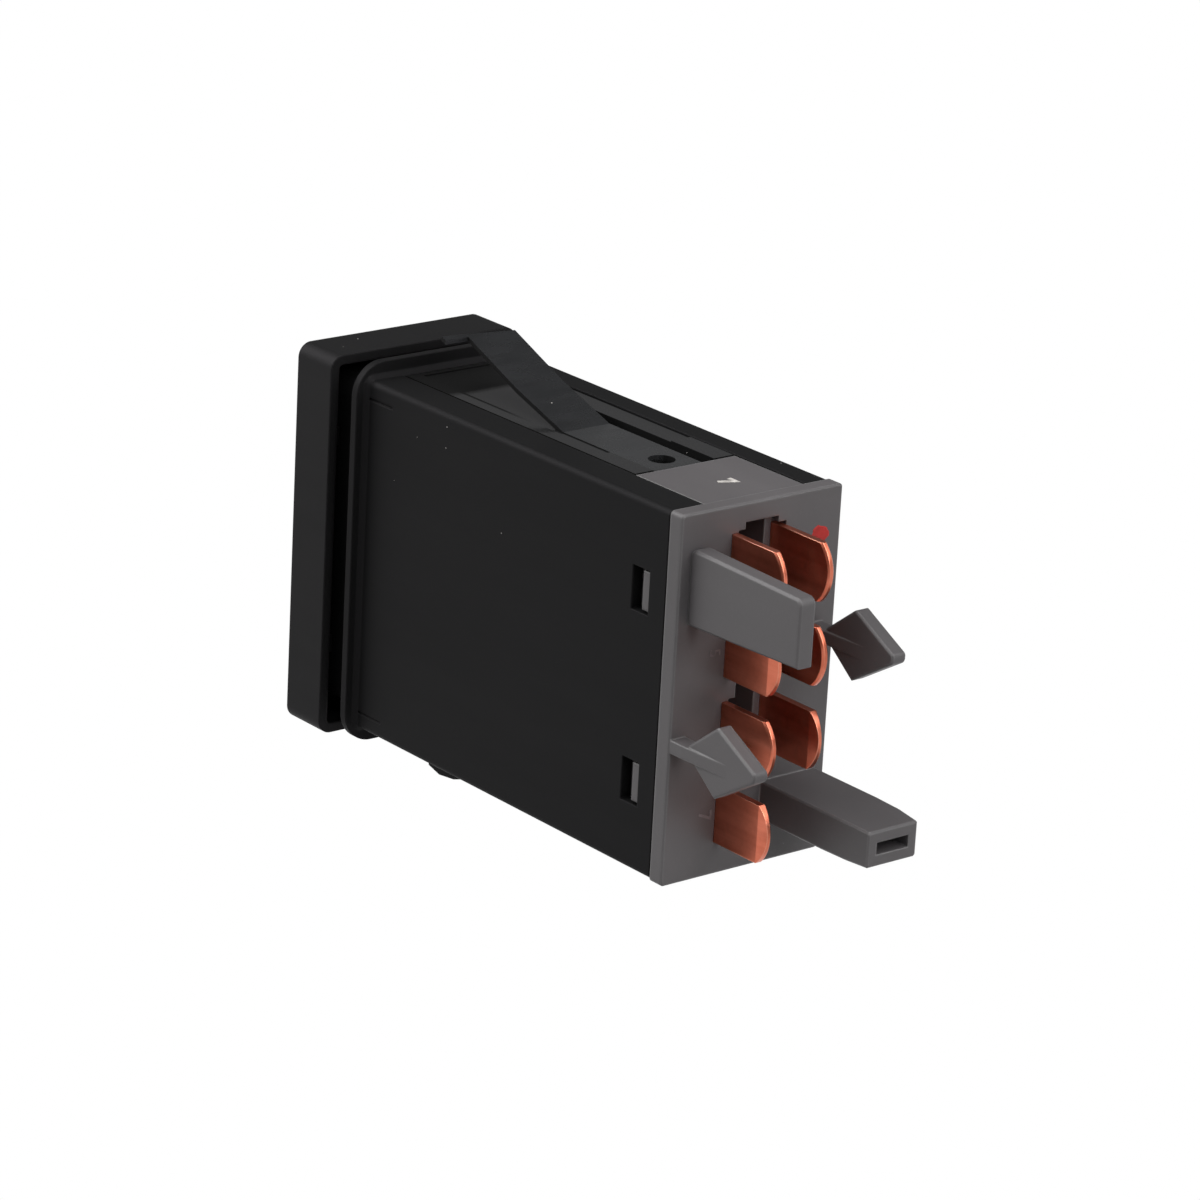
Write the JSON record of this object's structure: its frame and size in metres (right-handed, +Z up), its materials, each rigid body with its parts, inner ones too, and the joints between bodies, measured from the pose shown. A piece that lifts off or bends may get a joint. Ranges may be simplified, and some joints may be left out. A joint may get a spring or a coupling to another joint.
{
  "type": "hazard warning switch",
  "caption": "Dashboard push switch with a built-in flasher relay: black sleeve, square bezel, leaf clip on top, grey terminal base with copper blades and connector hooks.",
  "frame": {"origin": "centre of the bezel rear face, which seats on the panel around the opening", "axes": "+Y from the push button to the terminals, along which the switch goes into the panel; +Z up, with the leaf clip on top; +X across the narrow side"},
  "size_m": [0.0252, 0.0835, 0.0496],
  "materials": {
    "black_plastic": "matt moulded black",
    "black_frame": "satin moulded black",
    "button_black": "satin moulded black",
    "signal_red": "clear red inlay",
    "white_slider": "natural acetal",
    "grey_plastic": "matt moulded grey",
    "black_spring_steel": "blackened spring steel",
    "spring_steel": "drawn wire",
    "relay_iron": "zinc plated iron",
    "copper": "stamped bare copper",
    "copper_wire": "enamelled winding wire",
    "lamp_glass": "clear",
    "chip_black": "moulded epoxy",
    "can_aluminium": "drawn can",
    "board_green": "solder resist"
  },
  "bodies": {
    "body": {"bezel": "black_plastic", "blade_1": "copper", "blade_2": "copper", "blade_3": "copper", "blade_4": "copper", "blade_5": "copper", "blade_6": "copper", "blade_7": "copper", "capacitor": "can_aluminium", "circuit_board": "board_green", "coil_pin_lower": "copper", "coil_pin_upper": "copper", "contact_strip_lower_front": "copper", "contact_strip_lower_rear": "copper", "contact_strip_upper_front": "copper", "contact_strip_upper_rear": "copper", "fixed_contact": "copper", "flasher_chip": "chip_black", "housing": "black_plastic", "lamp_bulb": "lamp_glass", "lamp_holder": "black_frame", "lamp_lead_lower": "copper", "lamp_lead_upper": "copper", "mechanism_frame": "black_frame", "relay_bobbin": "grey_plastic", "relay_coil": "copper_wire", "relay_core": "relay_iron", "relay_yoke": "relay_iron", "resistor_1": "chip_black", "resistor_2": "chip_black", "resistor_3": "chip_black", "retaining_leaf": "black_spring_steel", "return_spring": "spring_steel", "shunt_wire": "copper", "terminal_base": "grey_plastic"},
    "button": {"push_button": "button_black", "outer_triangle": "signal_red", "inner_triangle": "signal_red", "button_slider": "white_slider", "bridge_contact_1": "copper", "bridge_contact_2": "copper"},
    "latch": {"latch_pin": "spring_steel"},
    "armature": {"relay_armature": "relay_iron", "moving_contact": "copper"}
  },
  "joints": [
    {"name": "button_press", "type": "slide", "parent": "body", "child": "button", "axis": [0, 1, 0], "range_m": [0, 0.004], "stiffness_N_per_m": 800, "springref_m": -0.003, "deforming": ["return_spring"]},
    {"name": "latch_swing", "type": "hinge", "parent": "body", "child": "latch", "pos_m": [-0.0085, 0.033, -0.01138], "axis": [1, 0, 0], "range_deg": [-5, 0]},
    {"name": "armature_pull", "type": "hinge", "parent": "body", "child": "armature", "pos_m": [-0.0006, 0.0274, 0.01465], "axis": [1, 0, 0], "range_deg": [0, 4], "stiffness_Nm_per_rad": 0.03, "springref_deg": -4.01}
  ],
  "couplings": [
    {"joint": "latch_swing", "follows": "button_press", "rad_per_m": -21.806}
  ]
}
